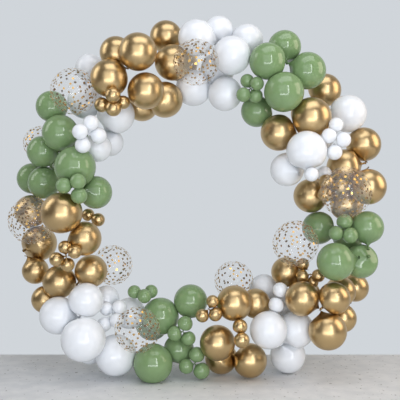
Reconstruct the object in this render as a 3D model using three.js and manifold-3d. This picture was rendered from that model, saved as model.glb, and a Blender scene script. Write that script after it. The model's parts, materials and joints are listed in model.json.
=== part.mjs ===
// Balloon garland: a free round ring of latex balloons in sage green, white, chrome gold and
// clear-with-confetti, big ones bunched round the core line and small ones tied in front.
// Millimetres, +Z up, X to the right, -Y toward the viewer.
// Origin: the top of the core line, where the garland is tied up.
import * as THREE from "three";
import { mergeVertices } from "three/addons/utils/BufferGeometryUtils.js";
import Module from "manifold-3d";

const wasm = await Module();
wasm.setup();

// ---- Driving dimensions ----------------------------------------------------------------
const CORE_RADIUS = 1000; // core line of the ring, on which the bunches are tied
const FLOOR_Z = -2314; // the surface that the lowest balloons press on
const GAP = 0.3; // clearance between neighbouring bunches
const MERGE_WITHIN = 0.001; // corners closer than this are one
const SMALL_DIAMETER = 130; // up to here a balloon is one of the small ones

// A tied latex balloon: full round body, then a taper to the neck at the tie.
const LARGE = { sides: 7, latitudes: [50, 92, 134], neckRadius: 11 };
const SMALL = { sides: 5, latitudes: [60, 115], neckRadius: 5 };
const SHORTEST_NECK = 1.06; // distance from the centre to the end of the neck, in body radii
const LONGEST_NECK = 1.4;
const TIE_ROOM = 1.5; // free space about a tie, in neck radii

// How hard balloons press together, as a share of the smaller one's radius, and how the
// bunches are left to settle against each other, mostly forward and back.
const PRESS = { inBunch: 0.16, betweenBunches: 0.05 };
const LEAST_SLOPE = 0.3; // so that balloons side by side still slip past each other in depth
const SETTLE_REACH = 150; // air gap up to which two balloons may come to touch
const SETTLE = { rounds: 1500, sideways: 0.03, backward: 0.25, keepSide: 0.03, keepDepth: 0.003 };

// The tie of a bunch is looked for on a grid about the bunch's middle.
const TIE_SEARCH = { reach: 200, step: 20, smallReach: 80, smallStep: 8 };
const FRONT_TIE_COST = 0.4; // how much a tie toward the viewer counts against a long neck

// ---- Colours ---------------------------------------------------------------------------
const FINISH = {
  gold: { color: 0xc9a25e, roughness: 0.3, metalness: 1 },
  white: { color: 0xf2f3f1, roughness: 0.25, metalness: 0 },
  sage: { color: 0x86a36a, roughness: 0.25, metalness: 0 },
  confetti: { color: 0xe4dfd2, roughness: 0.1, metalness: 0, opacity: 0.5, transparent: true },
};

// ---- Plan ------------------------------------------------------------------------------
// One entry is one bunch, tied together at its necks. A balloon is
// [degrees clockwise from the top, outward from the core line, backward, diameter].
const PLAN = {
  // Clear balloons with gold confetti, each tied in singly.
  confetti_12h: [[359.5, -45, -240, 325]],
  confetti_3h: [[87.5, 30, -320, 355]],
  confetti_4h: [[114.5, -220, -120, 335]],
  confetti_5h: [[156, -320, 120, 300]],
  confetti_7h: [[204.5, 15, -240, 325]],
  confetti_8h: [[232, -170, 200, 310]],
  confetti_9h: [[262.5, 210, -80, 350]],
  confetti_10h_outer: [[289.5, 295, 240, 275]],
  confetti_10h: [[311, 170, -160, 335]],

  // Twelve o'clock, white.
  white_four_12h: [
    [359.5, 170, -40, 265], [7, 270, 80, 220], [17.5, 240, 80, 245], [13.5, 70, -80, 280],
  ],
  white_three_12h: [[357.5, -160, 80, 270], [15, -190, 0, 255], [9, 0, 160, 260]],

  // One o'clock, sage green.
  sage_three_1h_outer: [[29.5, 285, -40, 245], [27.5, 105, -160, 265], [41, 220, -80, 270]],
  sage_three_1h: [[39, -20, -160, 285], [34, -215, 80, 240], [39.5, 40, 80, 260]],
  sage_small_four_1h: [
    [23, -75, -100, 100], [27.5, -75, -160, 100], [24, -185, -160, 105], [29.5, -145, -120, 105],
  ],

  // Two o'clock, gold, then white.
  gold_pair_2h: [[54.5, 10, -120, 290], [51, -235, -40, 265]],
  gold_pair_2h_outer: [[49.5, 295, 160, 255], [52, 70, 280, 230]],
  white_pair_2h: [[60.5, 300, 0, 280], [61.5, 40, 120, 265]],
  white_three_2h: [[66.5, -160, -240, 285], [72, -310, -40, 245], [78, -190, -280, 100]],
  white_small_3h: [[79, -40, 0, 115]],
  white_small_four_2h: [
    [62, 110, -200, 105], [64.5, 30, -220, 110], [68, 115, -220, 110], [71.5, 20, -220, 110],
  ],

  // Three o'clock, gold, then sage green.
  gold_three_3h: [[72, 320, 80, 260], [78, 125, 40, 270], [86, 245, -80, 260]],
  gold_three_3h_inner: [[88.5, -150, 80, 255], [92, 125, 80, 255], [84, 0, 240, 255]],
  gold_small_three_3h: [[82.5, -65, -100, 110], [85.5, 50, -80, 110], [88, -75, -120, 110]],
  sage_pair_3h: [[103.5, -60, 120, 250], [104.5, 185, 120, 225]],
  sage_three_4h: [[99, 255, -80, 240], [114.5, 80, -200, 270], [111.5, 275, -80, 250]],
  sage_small_three_3h: [[99, 75, -120, 115], [104, 25, -160, 105], [103.5, 125, -160, 115]],

  // Four o'clock, gold.
  gold_three_4h: [[133.5, 40, -160, 250], [126, 200, -160, 230], [135.5, 320, -200, 270]],
  gold_three_4h_outer: [[123, 285, 80, 230], [119.5, 400, 240, 220], [129.5, 390, 0, 210]],
  gold_pair_4h: [[129.5, -135, 80, 225], [132, 80, 80, 245]],
  gold_small_four_4h: [
    [126.5, -40, -80, 100], [122.5, 40, -100, 95], [126, 45, -40, 85], [121.5, -85, -40, 90],
  ],

  // Five o'clock, white.
  white_three_5h: [[151.5, 70, -160, 270], [143, 205, -40, 270], [150, 360, 80, 265]],
  white_pair_5h: [[143.5, -140, 200, 220], [142.5, 80, 200, 260]],
  white_small_pair_5h: [[137.5, -105, -100, 110], [143.5, -35, -100, 115]],

  // Six o'clock, gold.
  gold_pair_6h: [[160.5, -205, -160, 255], [151, -115, 0, 220]],
  gold_three_6h: [[172, 45, -120, 255], [162, 240, -80, 250], [171.5, 195, 0, 240]],
  gold_small_three_6h: [[171.5, -270, -200, 90], [177.5, -175, -220, 95], [171, -175, -240, 100]],
  gold_small_pair_6h: [[161.5, -50, -220, 105], [162.5, 35, -280, 110]],

  // Between six and seven o'clock, sage green.
  sage_three_6h: [[197.5, -85, 0, 275], [183.5, -240, 0, 250], [200, 30, 240, 255]],
  sage_pair_6h: [[195, 230, -120, 285], [187, 125, 0, 225]],
  sage_small_three_6h: [[185.5, -95, -120, 110], [189.5, -15, -140, 110], [183.5, 10, -120, 105]],
  sage_small_three_6h_low: [[180, 125, -80, 115], [184, 215, -120, 110], [178.5, 245, -140, 120]],
  sage_small_three_7h: [[214, -170, -20, 100], [208.5, -190, -60, 105], [206.5, -230, 20, 100]],

  // Between seven and eight o'clock, white.
  white_three_8h: [[227.5, 80, -160, 250], [230, 305, -120, 270], [219, 270, -240, 315]],
  white_pair_7h: [[207.5, 285, -80, 300], [215.5, 380, 40, 225]],
  white_six_7h: [
    [222.5, 20, 80, 200], [210.5, 0, 80, 235], [215.5, -20, -80, 110], [219.5, 45, -40, 100],
    [213.5, 55, -80, 105], [216.5, 135, -160, 105],
  ],

  // Between eight and nine o'clock, gold.
  gold_three_8h: [[235.5, -65, -40, 240], [239, 195, -40, 245], [236.5, 365, 40, 205]],
  gold_pair_9h: [[264, -45, -240, 290], [250.5, -145, -160, 245]],
  gold_three_9h: [[266, 285, 180, 250], [254, 265, 180, 270], [246, 340, 80, 200]],
  gold_small_four_8h: [
    [250, -25, -240, 95], [246.5, -75, -280, 95], [246.5, 75, -240, 100], [243, 25, -240, 100],
  ],
  gold_small_pair_9h: [[261.5, -180, 20, 95], [258, -250, 0, 100]],

  // Between nine and ten o'clock, sage green.
  sage_three_9h: [[277, 295, 240, 240], [276, 160, 40, 245], [282, 60, 240, 260]],
  sage_four_10h: [
    [302.5, 280, 0, 235], [295.5, 105, -80, 265], [287, 205, 40, 235], [294, 40, 160, 260],
  ],
  sage_five_9h: [
    [284.5, -105, -200, 295], [273.5, -260, -40, 240], [275.5, -80, -340, 110],
    [278, -175, -340, 110], [271.5, -185, -320, 115],
  ],

  // Ten o'clock, white.
  white_pair_10h: [[321, 295, 120, 220], [310.5, 125, 120, 265]],
  white_four_10h: [
    [316, -135, 0, 280], [297, -180, -40, 210], [302.5, -215, 120, 205], [316.5, -80, 240, 260],
  ],
  white_small_four_10h: [
    [305.5, -95, -260, 110], [299.5, -75, -340, 110], [302.5, -180, -240, 115],
    [295, -125, -280, 110],
  ],

  // Eleven o'clock, gold.
  gold_three_11h: [[349, 260, 80, 245], [350, 20, -40, 265], [353, 40, 200, 260]],
  gold_four_11h: [
    [338, 105, -240, 265], [331, 205, -80, 235], [323.5, 50, -200, 265], [338, 170, 40, 230],
  ],
  gold_three_11h_inner: [[334.5, -155, -200, 260], [342, -230, 0, 265], [329, -170, 160, 245]],
  gold_small_four_11h: [
    [321, -80, -300, 105], [314.5, -60, -220, 105], [317, -145, -260, 110], [322.5, -145, -200, 95],
  ],
};

// ---- Where everything is ---------------------------------------------------------------
// A point given by its clock angle, its way out from the core line and its way back.
function onRing(degrees, outward, backward) {
  const angle = THREE.MathUtils.degToRad(degrees);
  const reach = CORE_RADIUS + outward;
  return new THREE.Vector3(reach * Math.sin(angle), backward, reach * Math.cos(angle) - CORE_RADIUS);
}

const balloons = Object.entries(PLAN).flatMap(([bunch, rows]) =>
  rows.map(([degrees, outward, backward, diameter]) => ({
    bunch,
    centre: onRing(degrees, outward, backward),
    radius: diameter / 2,
    make: diameter <= SMALL_DIAMETER ? SMALL : LARGE,
  })),
);

const bunches = Object.keys(PLAN).map((name) => ({
  name,
  members: balloons.filter((balloon) => balloon.bunch === name),
}));

// How far two balloons are pressed into each other, below zero where air is left between.
function pressDepth(balloon, other) {
  return balloon.radius + other.radius - balloon.centre.distanceTo(other.centre);
}

// The pairs that hold a bunch together: each balloon in turn joins its nearest one.
function bunchLinks(members) {
  const joined = members.slice(0, 1);
  const waiting = members.slice(1);
  const links = [];
  while (waiting.length > 0) {
    const pairs = waiting.flatMap((next) => joined.map((held) => ({ next, held })));
    pairs.sort((a, b) => pressDepth(b.next, b.held) - pressDepth(a.next, a.held));
    const { next, held } = pairs[0];
    links.push([next, held]);
    joined.push(next);
    waiting.splice(waiting.indexOf(next), 1);
  }
  return links;
}

// One push on a pair: the lighter balloon gives way more, and both give way mostly in depth.
function pushApart(balloon, other, amount, moves) {
  const away = balloon.centre.clone().sub(other.centre).normalize();
  const side = away.y < 0 ? -1 : 1;
  const share = other.radius ** 3 / (balloon.radius ** 3 + other.radius ** 3);
  const push = new THREE.Vector3(
    SETTLE.sideways * away.x,
    SETTLE.backward * side * Math.max(Math.abs(away.y), LEAST_SLOPE),
    SETTLE.sideways * away.z,
  ).multiplyScalar(amount);
  moves.get(balloon).addScaledVector(push, share);
  moves.get(other).addScaledVector(push, share - 1);
}

// Leaves the planned garland to settle until neighbours just press on each other.
function settle() {
  const planned = new Map(balloons.map((balloon) => [balloon, balloon.centre.clone()]));
  const links = bunches.flatMap(({ members }) => bunchLinks(members));
  const isLink = (a, b) => links.some((pair) => pair.includes(a) && pair.includes(b));
  const near = balloons.flatMap((balloon, i) => balloons.slice(i + 1)
    .filter((other) => pressDepth(balloon, other) > -SETTLE_REACH && !isLink(balloon, other))
    .map((other) => [balloon, other]));
  for (let round = 0; round < SETTLE.rounds; round += 1) {
    const moves = new Map(balloons.map((balloon) => [balloon, new THREE.Vector3()]));
    for (const [balloon, other] of links) {
      const wanted = PRESS.inBunch * Math.min(balloon.radius, other.radius);
      pushApart(balloon, other, pressDepth(balloon, other) - wanted, moves);
    }
    for (const [balloon, other] of near) {
      const allowed = PRESS.betweenBunches * Math.min(balloon.radius, other.radius);
      const excess = pressDepth(balloon, other) - allowed;
      if (excess > 0) pushApart(balloon, other, excess, moves);
    }
    for (const balloon of balloons) {
      const back = planned.get(balloon).clone().sub(balloon.centre);
      back.multiply(new THREE.Vector3(SETTLE.keepSide, SETTLE.keepDepth, SETTLE.keepSide));
      balloon.centre.add(moves.get(balloon)).add(back);
    }
  }
}

// Two round balloons that press together meet in a flat face, on the plane through the
// circle that their surfaces share. It is measured from the first balloon's centre.
function contactPlane(balloon, other) {
  const toOther = other.centre.clone().sub(balloon.centre);
  const distance = toOther.length();
  const offset = (distance ** 2 + balloon.radius ** 2 - other.radius ** 2) / (2 * distance);
  return { normal: toOther.divideScalar(distance), offset };
}

function neighbours(balloon, margin) {
  return balloons.filter((other) => other.bunch !== balloon.bunch
    && other.centre.distanceTo(balloon.centre) < balloon.radius + other.radius + margin);
}

// A neck points at the tie and ends there, or where the latex can stretch no further.
function neckEnd({ centre, radius }, tie) {
  return tie.clone().sub(centre).clampLength(0, LONGEST_NECK * radius).add(centre);
}

// How far a tie at this point keeps the balloon's neck clear of every other bunch.
function neckRoom(point, balloon, walls) {
  const fromCentre = neckEnd(balloon, point).sub(balloon.centre);
  const rooms = walls.map(({ normal, offset }) => offset - fromCentre.dot(normal));
  return Math.min(...rooms) - TIE_ROOM * balloon.make.neckRadius - GAP;
}

// The tie of a bunch: the spot near its middle that gives the shortest necks and keeps them
// out of the other bunches, rather behind than in front.
function tiePoint(members) {
  const small = members[0].make === SMALL;
  const reach = small ? TIE_SEARCH.smallReach : TIE_SEARCH.reach;
  const step = small ? TIE_SEARCH.smallStep : TIE_SEARCH.step;
  const middle = new THREE.Vector3();
  members.forEach((balloon) => middle.addScaledVector(balloon.centre, 1 / members.length));
  const walls = members.map((balloon) => neighbours(balloon, 2 * reach)
    .map((other) => contactPlane(balloon, other)));
  let best = { cost: Infinity, point: middle };
  for (let x = -reach; x <= reach; x += step) {
    for (let y = -reach; y <= reach; y += step) {
      for (let z = -reach; z <= reach; z += step) {
        const point = new THREE.Vector3(x, y, z).add(middle);
        const necks = members.map((balloon) => point.distanceTo(balloon.centre) / balloon.radius);
        if (Math.min(...necks) < SHORTEST_NECK) continue;
        const cost = necks.reduce((sum, neck) => sum + neck ** 2, 0) - (FRONT_TIE_COST * y) / reach;
        if (cost >= best.cost) continue;
        const room = Math.min(...members.map((balloon, i) => neckRoom(point, balloon, walls[i])));
        if (room > 0) best = { cost, point };
      }
    }
  }
  if (best.cost === Infinity) throw new Error(`no clear tie for ${members[0].bunch}`);
  return best.point;
}

// ---- Solids ----------------------------------------------------------------------------
function toManifold(geometry) {
  geometry.deleteAttribute("normal");
  geometry.deleteAttribute("uv");
  const merged = mergeVertices(geometry, MERGE_WITHIN);
  return new wasm.Manifold(new wasm.Mesh({
    numProp: 3,
    vertProperties: merged.attributes.position.array,
    triVerts: new Uint32Array(merged.index.array),
  }));
}

function toGeometry(manifold) {
  const mesh = manifold.getMesh();
  const geometry = new THREE.BufferGeometry();
  geometry.setAttribute("position", new THREE.BufferAttribute(mesh.vertProperties, 3));
  geometry.setIndex(new THREE.BufferAttribute(mesh.triVerts, 1));
  return geometry;
}

// One balloon as a pear: crown, rings of the round body, then straight to the neck.
function balloonSolid({ centre, radius, make }, tie) {
  const reach = centre.distanceTo(neckEnd({ centre, radius }, tie));
  const profile = [new THREE.Vector2(0, radius)];
  for (const latitude of make.latitudes) {
    const angle = THREE.MathUtils.degToRad(latitude);
    profile.push(new THREE.Vector2(radius * Math.sin(angle), radius * Math.cos(angle)));
  }
  const end = -reach - make.neckRadius;
  profile.push(new THREE.Vector2(make.neckRadius, end), new THREE.Vector2(0, end));
  const lathe = new THREE.LatheGeometry(profile.reverse(), make.sides);
  const outward = centre.clone().sub(tie).normalize();
  const turn = new THREE.Quaternion().setFromUnitVectors(new THREE.Vector3(0, 1, 0), outward);
  lathe.applyQuaternion(turn);
  lathe.translate(centre.x, centre.y, centre.z);
  return toManifold(lathe);
}

// The balloon with a flat where it presses on a neighbour of another bunch, or on the floor.
function pressed(balloon) {
  let solid = balloon.solid;
  for (const other of neighbours(balloon, GAP)) {
    if (balloon.solid.minGap(other.solid, GAP) >= GAP) continue;
    const { normal, offset } = contactPlane(balloon, other);
    const along = normal.dot(balloon.centre) + offset - GAP / 2;
    solid = solid.trimByPlane(normal.clone().negate().toArray(), -along);
  }
  return solid.trimByPlane([0, 0, 1], FLOOR_Z);
}

function tieTogether(bunch) {
  bunch.tie = tiePoint(bunch.members);
  bunch.members.forEach((balloon) => {
    balloon.solid = balloonSolid(balloon, bunch.tie);
  });
}

function bunchMesh({ name, members, tie }) {
  const solid = members.map(pressed).reduce((joined, next) => joined.add(next));
  const material = new THREE.MeshStandardMaterial(FINISH[name.split("_")[0]]);
  const geometry = toGeometry(solid).translate(-tie.x, -tie.y, -tie.z);
  const mesh = new THREE.Mesh(geometry, material);
  mesh.name = name;
  mesh.position.copy(tie);
  return mesh;
}

const garland = new THREE.Group();
garland.name = "balloon_garland";
settle();
bunches.forEach(tieTogether);
bunches.forEach((bunch) => garland.add(bunchMesh(bunch)));

export default garland;
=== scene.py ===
# %% [markdown]
# # A balloon garland in a ring
#
# The garland is a free ring of tied latex balloons: sage green, white, chrome gold, and clear
# ones with gold foil confetti inside. The solids of the library part say where every balloon
# is, how big it is and which way its neck points. This lesson dresses them: round skins that
# press flat on each other, tied necks, glossy latex, mirror-like gold and see-through film.

# %% Load the frame
import itertools
import json
import math
import random

import bmesh
import bpy
import numpy as np
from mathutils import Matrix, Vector

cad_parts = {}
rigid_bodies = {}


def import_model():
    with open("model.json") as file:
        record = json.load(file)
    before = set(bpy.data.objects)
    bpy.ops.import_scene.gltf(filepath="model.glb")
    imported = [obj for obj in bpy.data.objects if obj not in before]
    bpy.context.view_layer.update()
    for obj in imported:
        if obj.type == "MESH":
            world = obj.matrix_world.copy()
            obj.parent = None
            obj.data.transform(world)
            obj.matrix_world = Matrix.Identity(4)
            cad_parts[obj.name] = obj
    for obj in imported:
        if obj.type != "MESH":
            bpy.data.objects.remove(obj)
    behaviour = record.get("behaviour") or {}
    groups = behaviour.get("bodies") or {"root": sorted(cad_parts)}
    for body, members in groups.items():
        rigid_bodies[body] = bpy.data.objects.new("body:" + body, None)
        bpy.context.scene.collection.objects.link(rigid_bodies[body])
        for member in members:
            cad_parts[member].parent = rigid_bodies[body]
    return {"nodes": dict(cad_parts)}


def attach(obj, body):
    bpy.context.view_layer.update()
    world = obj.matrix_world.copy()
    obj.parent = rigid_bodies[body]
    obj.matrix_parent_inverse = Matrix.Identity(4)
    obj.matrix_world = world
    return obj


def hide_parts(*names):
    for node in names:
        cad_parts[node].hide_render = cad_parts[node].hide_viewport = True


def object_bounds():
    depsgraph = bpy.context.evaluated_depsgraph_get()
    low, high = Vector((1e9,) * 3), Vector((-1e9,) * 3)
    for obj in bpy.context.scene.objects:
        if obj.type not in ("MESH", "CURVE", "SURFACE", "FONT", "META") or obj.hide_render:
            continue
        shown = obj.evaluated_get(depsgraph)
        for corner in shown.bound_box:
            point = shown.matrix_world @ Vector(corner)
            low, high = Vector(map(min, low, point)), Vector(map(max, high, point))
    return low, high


for leftover in list(bpy.data.objects):
    bpy.data.objects.remove(leftover)
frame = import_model()
cad_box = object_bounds()
print("solids:", len(frame["nodes"]), "box:", [tuple(round(x, 3) for x in c) for c in cad_box])

# %% [markdown]
# ## Camera
# The camera comes first, because everything is judged through it. It stands level with the
# middle of the ring, a little under five metres away, with a short telephoto lens, so that
# the ring fills the view without looking stretched.

# %% Camera
CAMERA_PLACE = (0.020, -4.847, -1.010)
CAMERA_LENS = 58.95
SENSOR = 36.0

lens = bpy.data.cameras.new("camera")
lens.lens = CAMERA_LENS
lens.sensor_width = SENSOR
camera = bpy.data.objects.new("camera", lens)
camera.location = CAMERA_PLACE
camera.rotation_euler = (math.radians(90), 0, 0)
bpy.context.scene.collection.objects.link(camera)
bpy.context.scene.camera = camera
print("camera at", CAMERA_PLACE)

# %% [markdown]
# ## Reading the balloons out of the solids
# A solid is a bunch of faceted pears, and the corners of a pear's facets lie on the true
# sphere of the balloon. Two facets that share an edge have four corners, and four points fix
# one sphere. So every edge casts a vote, and the spheres with most votes are the balloons.
# The name of a solid says how many there are in it.

# %% Spheres from the facets
COUNT_WORDS = {"pair": 2, "three": 3, "four": 4, "five": 5, "six": 6}
WELD = 1e-5
FLAT_ENOUGH = 0.02
RADIUS_RANGE = (0.035, 0.19)
SAME_SPHERE = 0.0008
ON_SPHERE = 0.00008
EMPTY_INSIDE = 0.65


def sphere_through(corners):
    """Centre and radius of the sphere through four points, or None where they lie flat."""
    sides = corners[1:] - corners[0]
    lengths = np.linalg.norm(sides, axis=1)
    if abs(np.linalg.det(sides)) < FLAT_ENOUGH * np.prod(lengths):
        return None
    middle = np.linalg.solve(2 * sides, (sides**2).sum(axis=1))
    radius = np.linalg.norm(middle)
    if not RADIUS_RANGE[0] < radius < RADIUS_RANGE[1]:
        return None
    return [*(corners[0] + middle), radius]


def facet_corners(node):
    """The welded corners of a solid, and four corners for each edge between two facets."""
    mesh = bmesh.new()
    mesh.from_mesh(frame["nodes"][node].data)
    bmesh.ops.remove_doubles(mesh, verts=mesh.verts, dist=WELD)
    bmesh.ops.triangulate(mesh, faces=mesh.faces)
    mesh.verts.index_update()
    places = np.array([v.co for v in mesh.verts], float)
    fours = []
    for edge in mesh.edges:
        ring = {v.index for face in edge.link_faces for v in face.verts}
        if len(ring) == 4:
            fours.append(sorted(ring))
    mesh.free()
    return places, fours


def spheres_in(node):
    """The balloons of one solid, as centre and radius, those with most votes first."""
    places, fours = facet_corners(node)
    votes = np.array([s for s in (sphere_through(places[f]) for f in fours) if s])
    wanted = next((n for word, n in COUNT_WORDS.items() if word in node.split("_")), 1)
    away = np.linalg.norm(places[None] - votes[:, None, :3], axis=2) / votes[:, 3:]
    votes, away = (a[away.min(axis=1) > EMPTY_INSIDE] for a in (votes, away))
    found = []
    while len(found) < wanted:
        close = np.abs(votes[:, None] - votes[None]).max(axis=2) < SAME_SPHERE
        corners_on = (np.abs(away - 1) * votes[:, 3:] < ON_SPHERE).sum(axis=1)
        best = close[(close.sum(axis=1) + corners_on).argmax()]
        found.append(np.median(votes[best], axis=0))
        votes, away = votes[~best], away[~best]
    return places, found


# %% [markdown]
# ## Which way a neck points
# The corners also lie on rings round the balloon's axis, at known latitudes. The right axis is
# the one that puts most corners on those latitudes. The necks of one bunch run to one tie, so
# the tie is the point nearest to all their axes.

# %% Axis and tie
SMALL_RADIUS = 0.065
LATITUDES = {"large": (0, 50, 92, 134), "small": (0, 60, 115)}
LATITUDE_SLACK = 0.3
NECK_RADIUS = {"large": 0.011, "small": 0.005}
LONGEST_NECK = 1.4


def neck_axis(places, centre, radius, kind):
    """Unit vector from the neck to the crown."""
    spokes = (places - centre) / radius
    spokes = spokes[np.abs(np.linalg.norm(spokes, axis=1) - 1) * radius < ON_SPHERE]
    threes = np.array(list(itertools.combinations(range(len(spokes)), 3)))
    a, b, c = (spokes[threes[:, i]] for i in range(3))
    across = np.cross(b - a, c - a)
    long_enough = np.linalg.norm(across, axis=1) > 1e-3
    across = across[long_enough]
    across /= np.linalg.norm(across, axis=1)[:, None]
    axes = np.vstack([across, -across, spokes])
    angles = np.degrees(np.arccos(np.clip(axes @ spokes.T, -1, 1)))
    nearest = np.min([np.abs(angles - latitude) for latitude in LATITUDES[kind]], axis=0)
    return axes[(nearest < LATITUDE_SLACK).sum(axis=1).argmax()]


def common_tie(centres, axes):
    """The point nearest to all the necks' axes."""
    across = [np.eye(3) - np.outer(a, a) for a in axes]
    return np.linalg.solve(sum(across), sum(m @ c for m, c in zip(across, centres)))


balloons = []
for node in sorted(frame["nodes"]):
    places, found = spheres_in(node)
    members = []
    for x, y, z, radius in found:
        centre = np.array([x, y, z])
        kind = "small" if radius <= SMALL_RADIUS else "large"
        members.append({"node": node, "centre": centre, "radius": radius, "kind": kind,
                        "axis": neck_axis(places, centre, radius, kind)})
    if len(members) > 1:
        tie = common_tie([m["centre"] for m in members], [m["axis"] for m in members])
        for m in members:
            reach = np.linalg.norm(m["centre"] - tie)
            m["reach"] = min(reach, LONGEST_NECK * m["radius"])
    else:
        alone = members[0]
        depth = ((alone["centre"] - places) @ alone["axis"]).max()
        alone["reach"] = depth - NECK_RADIUS[alone["kind"]]
    balloons += members
print("balloons:", len(balloons), "reach", min(b["reach"] / b["radius"] for b in balloons),
      max(b["reach"] / b["radius"] for b in balloons))

# %% [markdown]
# ## Where balloons press on each other
# Two tied balloons that touch push each other flat, on the plane through the circle that
# their surfaces share. The lowest balloon does the same on the floor. A soft minimum rounds
# the rim of each flat, because stretched latex never folds into a sharp edge.

# %% Flats between neighbours
CONTACT_GAP = 0.0003
RIM_ROUNDING = 0.018
FLOOR_HEIGHT = cad_box[0].z


def press_planes(balloon):
    """The planes that a balloon is pressed against, as unit normal and distance."""
    planes = [(np.array([0.0, 0.0, -1.0]), balloon["centre"][2] - FLOOR_HEIGHT)]
    for other in balloons:
        across = other["centre"] - balloon["centre"]
        distance = np.linalg.norm(across)
        if 0 < distance < balloon["radius"] + other["radius"]:
            share = (distance**2 + balloon["radius"]**2 - other["radius"]**2) / (2 * distance)
            planes.append((across / distance, share - CONTACT_GAP))
    return planes


def pressed(points, balloon, planes, inset=0.0):
    """Points about a balloon's centre, held back by the planes it presses against."""
    rounding = RIM_ROUNDING * balloon["radius"]
    for normal, distance in planes:
        over = points @ normal - (distance - inset)
        points = points - np.outer(rounding * np.logaddexp(0, over / rounding), normal)
    return points


for balloon in balloons:
    balloon["planes"] = press_planes(balloon)
print("flats:", sum(len(b["planes"]) - 1 for b in balloons) // 2)

# %% [markdown]
# ## The skin of one balloon
# A blown-up balloon is a surface of revolution: a round body that runs out in a hollow taper
# to a narrow neck, then the knot and the rolled lip of the mouth. So it is made as rings
# round an axis. The taper is a Bezier curve that leaves the sphere without a corner.

# %% Profile and skin
BODY_SEGMENTS = {"large": 48, "small": 32}
BODY_RINGS = {"large": 22, "small": 14}
TAPER_RINGS = {"large": 9, "small": 7}
TAPER_FROM = math.radians(128)
NECK_TUBE = {"large": 0.0055, "small": 0.003}
KNOT = {"large": 0.0085, "small": 0.0045}
LIP = {"large": 0.012, "small": 0.0065}
THICK_FROM = 0.55  # below the centre, in radii, where the skin starts to thicken
THICK_OVER = 0.5


def bezier(points, steps):
    """Points along a cubic Bezier curve, without its first point."""
    t = np.linspace(0, 1, steps + 1)[1:, None]
    p = [np.array(point, float) for point in points]
    return ((1 - t)**3 * p[0] + 3 * t * (1 - t)**2 * p[1]
            + 3 * t**2 * (1 - t) * p[2] + t**3 * p[3])


def skin_profile(radius, reach, kind):
    """Distance from the axis and height above the centre, from crown to mouth."""
    tube, knot, lip = NECK_TUBE[kind], KNOT[kind], LIP[kind]
    angle = np.linspace(0, TAPER_FROM, BODY_RINGS[kind] + 1)
    body = np.column_stack([radius * np.sin(angle), radius * np.cos(angle)])
    start = body[-1]
    slope = np.array([math.cos(TAPER_FROM), -math.sin(TAPER_FROM)])
    neck = -(reach - knot)
    drop = start[1] - neck
    taper = bezier([start, start + slope * 0.45 * drop, (tube, neck + 0.42 * drop),
                    (tube, neck)], TAPER_RINGS[kind])
    end = [(knot, neck - 0.35 * knot), (knot, neck - 1.0 * knot), (tube, neck - 1.5 * knot),
           (lip * 0.72, neck - 2.0 * knot), (lip, neck - 2.35 * knot),
           (lip * 0.9, neck - 2.6 * knot), (tube * 0.6, neck - 2.45 * knot),
           (0, neck - 2.3 * knot)]
    return np.vstack([body, taper, end])


def skin(balloon):
    """Corner places, faces, and how thick the skin is at each corner, from 0 to 1."""
    profile = skin_profile(balloon["radius"], balloon["reach"], balloon["kind"])
    sides = BODY_SEGMENTS[balloon["kind"]]
    turn = np.linspace(0, 2 * math.pi, sides, endpoint=False)
    axis = balloon["axis"]
    right = np.cross(axis, [0.0, 0.0, 1.0] if abs(axis[2]) < 0.9 else [1.0, 0.0, 0.0])
    right /= np.linalg.norm(right)
    ahead = np.cross(axis, right)
    rim = np.outer(np.cos(turn), right) + np.outer(np.sin(turn), ahead)
    rings = profile[1:-1]
    corners = (rings[:, 0, None, None] * rim[None] + rings[:, 1, None, None] * axis)
    corners = np.vstack([profile[0, 1] * axis, corners.reshape(-1, 3), profile[-1, 1] * axis])
    last = len(corners) - 1
    around = np.arange(sides)
    after = (around + 1) % sides
    faces = [(0, 1 + i, 1 + j) for i, j in zip(around, after)]
    for ring in range(len(rings) - 1):
        here, below = 1 + ring * sides, 1 + (ring + 1) * sides
        faces += [(here + i, below + i, below + j, here + j) for i, j in zip(around, after)]
    here = 1 + (len(rings) - 1) * sides
    faces += [(here + j, here + i, last) for i, j in zip(around, after)]
    height = corners @ axis / balloon["radius"]
    thick = np.clip((-height - THICK_FROM) / THICK_OVER, 0, 1)**2
    placed = pressed(corners, balloon, balloon["planes"]) + balloon["centre"]
    return placed, faces, thick


# %% [markdown]
# ## Materials
# Colours are given as sRGB hex, the way a paint chart gives them, and turned to linear by one
# function. One more function adds a shader node with its settings and links.

# %% Colour and node helpers
def linear(code):
    """A colour such as 'F2F3F1' as linear red, green, blue and alpha."""
    shares = [int(code[i:i + 2], 16) / 255 for i in (0, 2, 4)]
    return [*(s / 12.92 if s <= 0.04045 else ((s + 0.055) / 1.055)**2.4 for s in shares), 1.0]


def add_node(tree, kind, links=None, inputs=None, **settings):
    """Adds a node, sets its properties and plain inputs, and links the rest."""
    node = tree.nodes.new(kind)
    for name, value in settings.items():
        setattr(node, name, value)
    for name, value in (inputs or {}).items():
        node.inputs[name].default_value = value
    for name, source in (links or {}).items():
        tree.links.new(source, node.inputs[name])
    return node


def new_material(name):
    """An empty node material and its node tree."""
    material = bpy.data.materials.new(name)
    material.use_nodes = True
    material.node_tree.nodes.clear()
    return material, material.node_tree


# %% Latex finishes
CLOUD_SIZE = {"latex": 0.035, "chrome": 0.05}  # metres across one cloud in the colour
GRAIN_SIZE = 0.012  # coarser than real latex grain, so that it shows


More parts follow.
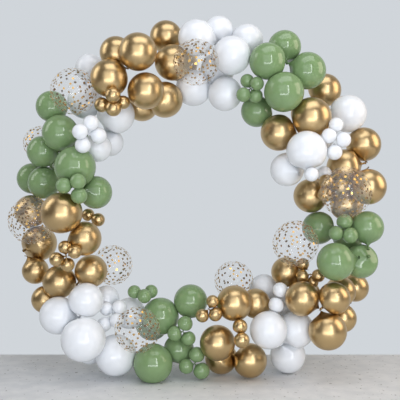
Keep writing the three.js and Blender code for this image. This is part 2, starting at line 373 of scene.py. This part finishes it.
def latex(name, body, deep, roughness, glow):
    """Dipped natural rubber: glossy, a little cloudy, deeper in colour where it is thick."""
    material, tree = new_material(name)
    place = add_node(tree, "ShaderNodeTexCoord").outputs["Object"]
    thick = add_node(tree, "ShaderNodeAttribute", attribute_name="thick").outputs["Fac"]
    cloud = add_node(tree, "ShaderNodeTexNoise", {"Vector": place},
                     {"Scale": 1 / CLOUD_SIZE["latex"], "Detail": 3.0, "Roughness": 0.55})
    cloudy = add_node(tree, "ShaderNodeMapRange", {"Value": cloud.outputs["Fac"]},
                      {"From Min": 0.3, "From Max": 0.7, "To Min": 0.0, "To Max": 0.15})
    amount = add_node(tree, "ShaderNodeMath", {0: thick, 1: cloudy.outputs["Result"]},
                      operation="MAXIMUM")
    colour = add_node(tree, "ShaderNodeMix", {"Factor": amount.outputs[0]},
                      {"A": linear(body), "B": linear(deep)}, data_type="RGBA")
    skin_grain = add_node(tree, "ShaderNodeTexNoise", {"Vector": place},
                          {"Scale": 1 / GRAIN_SIZE, "Detail": 2.0})
    bump = add_node(tree, "ShaderNodeBump", {"Height": skin_grain.outputs["Fac"]},
                    {"Strength": 0.03, "Distance": 0.002})
    shine = add_node(tree, "ShaderNodeMapRange", {"Value": skin_grain.outputs["Fac"]},
                     {"From Min": 0.3, "From Max": 0.7, "To Min": roughness * 0.85,
                      "To Max": roughness * 1.25})
    shader = add_node(tree, "ShaderNodeBsdfPrincipled",
                      {"Base Color": colour.outputs["Result"], "Normal": bump.outputs["Normal"],
                       "Roughness": shine.outputs["Result"]},
                      {"IOR": 1.52, "Subsurface Weight": glow, "Subsurface Scale": 0.02,
                       "Subsurface Radius": (1.0, 1.0, 1.0)})
    add_node(tree, "ShaderNodeOutputMaterial", {"Surface": shader.outputs["BSDF"]})
    return material


def chrome(name, body, deep, roughness):
    """Chrome latex: a satin metallic skin with a faint mottle, deeper at the neck."""
    material, tree = new_material(name)
    place = add_node(tree, "ShaderNodeTexCoord").outputs["Object"]
    thick = add_node(tree, "ShaderNodeAttribute", attribute_name="thick").outputs["Fac"]
    cloud = add_node(tree, "ShaderNodeTexNoise", {"Vector": place},
                     {"Scale": 1 / CLOUD_SIZE["chrome"], "Detail": 2.0, "Roughness": 0.5})
    cloudy = add_node(tree, "ShaderNodeMapRange", {"Value": cloud.outputs["Fac"]},
                      {"From Min": 0.3, "From Max": 0.7, "To Min": 0.0, "To Max": 0.12})
    amount = add_node(tree, "ShaderNodeMath", {0: thick, 1: cloudy.outputs["Result"]},
                      operation="MAXIMUM")
    colour = add_node(tree, "ShaderNodeMix", {"Factor": amount.outputs[0]},
                      {"A": linear(body), "B": linear(deep)}, data_type="RGBA")
    shine = add_node(tree, "ShaderNodeMapRange", {"Value": cloud.outputs["Fac"]},
                     {"From Min": 0.3, "From Max": 0.7, "To Min": roughness * 0.96,
                      "To Max": roughness * 1.05})
    shader = add_node(tree, "ShaderNodeBsdfPrincipled",
                      {"Base Color": colour.outputs["Result"],
                       "Roughness": shine.outputs["Result"]}, {"Metallic": 1.0})
    add_node(tree, "ShaderNodeOutputMaterial", {"Surface": shader.outputs["BSDF"]})
    return material


def clear_film(name):
    """Clear latex film: see-through, with a slight grey veil and a gloss."""
    material, tree = new_material(name)
    shader = add_node(tree, "ShaderNodeBsdfPrincipled", None,
                      {"Base Color": linear("D9DADC"), "Roughness": 0.06, "IOR": 1.52,
                       "Specular IOR Level": 1.0, "Alpha": 0.09})
    add_node(tree, "ShaderNodeOutputMaterial", {"Surface": shader.outputs["BSDF"]})
    return material


FINISHES = {
    "sage": latex("sage green latex", "7F9A6C", "5B754B", 0.08, 0.05),
    "white": latex("white latex", "E9ECF0", "D2D6DB", 0.14, 0.15),
    "gold": chrome("chrome gold latex", "CDB284", "98794A", 0.33),
    "confetti": clear_film("clear latex film"),
}
FOIL = chrome("gold foil", "C79F4E", "6E5424", 0.2)

# %% [markdown]
# ## The bunches
# Each bunch is one piece, because its balloons are tied together and move together.

# %% Skins, bunch by bunch
def make_piece(name, parts, material):
    """One mesh object from several skins, smooth, riding on the garland."""
    corners, faces, thick, count = [], [], [], 0
    for places, polygons, shade in parts:
        corners.append(places)
        faces += [tuple(count + i for i in polygon) for polygon in polygons]
        thick.append(shade)
        count += len(places)
    mesh = bpy.data.meshes.new(name)
    mesh.from_pydata(np.vstack(corners).tolist(), [], faces)
    mesh.polygons.foreach_set("use_smooth", [True] * len(mesh.polygons))
    shade = mesh.attributes.new("thick", "FLOAT", "POINT")
    shade.data.foreach_set("value", np.concatenate(thick).astype(np.float32))
    mesh.materials.append(material)
    mesh.update()
    piece = bpy.data.objects.new(name, mesh)
    bpy.context.scene.collection.objects.link(piece)
    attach(piece, "root")
    return piece


for node in sorted(frame["nodes"]):
    members = [b for b in balloons if b["node"] == node]
    colour = node.split("_")[0]
    piece = make_piece(f"{node}_skins", [skin(b) for b in members], FINISHES[colour])
    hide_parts(node)

# %% [markdown]
# ## Confetti
# The confetti is cut foil that static holds against the inside of the film, thick as paint
# near the outline and thin in the middle, as any even spread on a ball looks.

# %% Foil flakes
FLAKE_SIZE = 0.020
FLAKE_SPACING = 0.040
FLAKE_INSET = 0.004
FLAKE_THICK = 0.0003
FLAKE_TILT = 0.15
FLAKE_SKEW = 0.25
FLAKE_REACH = (0.75, 1.3)
FLAKE_SHAKE = 0.05
NECK_CLEAR = -0.75


def flake(dice, place, outward):
    """One irregular four-cornered flake, lying nearly flat against the film."""
    tilt = Vector([dice.gauss(0, FLAKE_TILT) for _ in range(3)])
    normal = (Vector(outward) + tilt).normalized()
    side = normal.orthogonal().normalized()
    other = normal.cross(side)
    start = dice.uniform(0, 2 * math.pi)
    corners = []
    for k in range(4):
        angle = start + k * math.pi / 2 + dice.uniform(-FLAKE_SKEW, FLAKE_SKEW)
        reach = FLAKE_SIZE / 2 * dice.uniform(*FLAKE_REACH)
        corners.append((side * math.cos(angle) + other * math.sin(angle)) * reach)
    points = [Vector(place) + corner + normal * layer * FLAKE_THICK
              for layer in (-0.5, 0.5) for corner in corners]
    sides = [(k, (k + 1) % 4, 4 + (k + 1) % 4, 4 + k) for k in range(4)]
    return np.array(points), [(3, 2, 1, 0), (4, 5, 6, 7), *sides], np.zeros(8)


def confetti_in(balloon):
    """Flakes spread evenly over the film, each shaken a little from its place."""
    dice = random.Random(balloon["node"])
    radius = balloon["radius"] - FLAKE_INSET
    number = int(4 * math.pi * radius**2 / FLAKE_SPACING**2)
    flakes = []
    for k in range(number):
        height = 1 - 2 * (k + 0.5) / number
        angle = k * math.pi * (3 - math.sqrt(5))
        flat = math.sqrt(1 - height**2)
        spot = np.array([flat * math.cos(angle), flat * math.sin(angle), height])
        spot += np.array([dice.gauss(0, FLAKE_SHAKE) for _ in range(3)])
        spot /= np.linalg.norm(spot)
        if spot @ balloon["axis"] < NECK_CLEAR:
            continue
        inside = pressed(radius * spot[None], balloon, balloon["planes"], FLAKE_INSET)[0]
        flakes.append(flake(dice, inside + balloon["centre"], spot))
    return flakes


for balloon in balloons:
    if balloon["node"].startswith("confetti"):
        piece = make_piece(f"{balloon['node']}_foil", confetti_in(balloon), FOIL)
        piece.data.polygons.foreach_set("use_smooth", [False] * len(piece.data.polygons))
        print(piece.name, "flakes:", len(piece.data.vertices) // 8)

# %% [markdown]
# ## Floor
# The garland rests lightly on a pale concrete floor with sparse dark chips. The floor is
# staged, so it isn't part of the garland.

# %% Floor
FLOOR_BACK = 0.68
FLOOR_FRONT = -7.0
FLOOR_HALF_WIDTH = 7.0
CHIP_SPACING = 0.03

floor_mesh = bpy.data.meshes.new("floor")
floor_mesh.from_pydata([(-FLOOR_HALF_WIDTH, FLOOR_FRONT, FLOOR_HEIGHT),
                        (FLOOR_HALF_WIDTH, FLOOR_FRONT, FLOOR_HEIGHT),
                        (FLOOR_HALF_WIDTH, FLOOR_BACK, FLOOR_HEIGHT),
                        (-FLOOR_HALF_WIDTH, FLOOR_BACK, FLOOR_HEIGHT)], [], [(0, 1, 2, 3)])
floor = bpy.data.objects.new("floor", floor_mesh)
bpy.context.scene.collection.objects.link(floor)
concrete, tree = new_material("pale concrete")
place = add_node(tree, "ShaderNodeTexCoord").outputs["Object"]
speckle = add_node(tree, "ShaderNodeTexNoise", {"Vector": place}, {"Scale": 9.0, "Detail": 6.0})
shade = add_node(tree, "ShaderNodeMapRange", {"Value": speckle.outputs["Fac"]},
                 {"From Min": 0.35, "From Max": 0.65})
tint = add_node(tree, "ShaderNodeMix", {"Factor": shade.outputs["Result"]},
                {"A": linear("D2D4D6"), "B": linear("DEDFE0")}, data_type="RGBA")
chips = add_node(tree, "ShaderNodeTexNoise", {"Vector": place}, {"Scale": 1 / CHIP_SPACING})
chipped = add_node(tree, "ShaderNodeMapRange", {"Value": chips.outputs["Fac"]},
                   {"From Min": 0.68, "From Max": 0.72})
speckled = add_node(tree, "ShaderNodeMix",
                    {"Factor": chipped.outputs["Result"], "A": tint.outputs["Result"]},
                    {"B": linear("8C8B88")}, data_type="RGBA")
surface = add_node(tree, "ShaderNodeBsdfPrincipled",
                   {"Base Color": speckled.outputs["Result"]}, {"Roughness": 0.75})
add_node(tree, "ShaderNodeOutputMaterial", {"Surface": surface.outputs["BSDF"]})
floor_mesh.materials.append(concrete)
print("floor at", round(FLOOR_HEIGHT, 3))

# %% [markdown]
# ## Room
# Behind the ring is a plain pale room. Balloons are mirrors, so the side of the room that
# they face is darker, which gives them their dark edges.

# %% Room
ROOM_SEEN = linear("D0D5DA")
ROOM_WALL = linear("C9CDD1")
ROOM_BEHIND = linear("5C5854")

room = bpy.data.worlds.new("room")
bpy.context.scene.world = room
bpy.context.scene.view_settings.view_transform = "Standard"
room.use_nodes = True
tree = room.node_tree
tree.nodes.clear()
direction = add_node(tree, "ShaderNodeTexCoord").outputs["Generated"]
parts = add_node(tree, "ShaderNodeSeparateXYZ", {"Vector": direction})
facing = add_node(tree, "ShaderNodeMapRange", {"Value": parts.outputs["Y"]},
                  {"From Min": -0.1, "From Max": 0.75}, interpolation_type="SMOOTHSTEP")
around = add_node(tree, "ShaderNodeMix", {"Factor": facing.outputs["Result"]},
                  {"A": ROOM_BEHIND, "B": ROOM_WALL}, data_type="RGBA")
seen = add_node(tree, "ShaderNodeLightPath").outputs["Is Camera Ray"]
mixed = add_node(tree, "ShaderNodeMix", {"Factor": seen, "A": around.outputs["Result"]},
                 {"B": ROOM_SEEN}, data_type="RGBA")
glow = add_node(tree, "ShaderNodeBackground", {"Color": mixed.outputs["Result"]},
                {"Strength": 1.0})
add_node(tree, "ShaderNodeOutputWorld", {"Surface": glow.outputs["Background"]})
print("room:", len(tree.nodes), "nodes")

# %% [markdown]
# ## Lamps
# What makes balloons look round is what they reflect: a window-like pair of strips beside the
# camera, a big soft fill, a slightly warm light from the right and a strip at the far left.

# %% Lamps
def soft_light(name, place, towards, size, watts, colour="FFFFFF"):
    """A rectangular soft light that faces a point and isn't seen by the camera itself."""
    data = bpy.data.lights.new(name, "AREA")
    data.shape = "RECTANGLE"
    data.size, data.size_y = size
    data.energy = watts
    data.color = linear(colour)[:3]
    lamp = bpy.data.objects.new(name, data)
    lamp.location = place
    lamp.rotation_euler = (Vector(towards) - Vector(place)).to_track_quat("-Z", "Y").to_euler()
    lamp.visible_camera = False
    bpy.context.scene.collection.objects.link(lamp)
    return lamp


MIDDLE = (0.0, 0.0, -1.0)
soft_light("front softbox", (-0.2, -5.0, 0.1), MIDDLE, (4.6, 4.6), 95, "F4F8FF")
soft_light("window bottom", (-0.2, -4.9, -2.2), MIDDLE, (4.6, 0.5), 75, "F6F9FF")
soft_light("window side", (2.1, -4.9, 0.0), MIDDLE, (0.5, 4.6), 75, "F6F9FF")
soft_light("left strip", (-4.2, -0.5, 1.4), MIDDLE, (1.6, 3.5), 45, "FFFFFF")
soft_light("right warm", (4.6, -0.8, 0.6), MIDDLE, (2.4, 3.6), 85, "FFEEDA")
soft_light("top fill", (0.6, -1.6, 3.4), MIDDLE, (4.5, 2.6), 90, "F8FAFF")

# %% [markdown]
# ## The size of the solids
# The dressed garland has to fill the same box as the solids. The box of the solids is printed.

# %% Finish
print("cad box", [tuple(round(x, 3) for x in c) for c in cad_box])
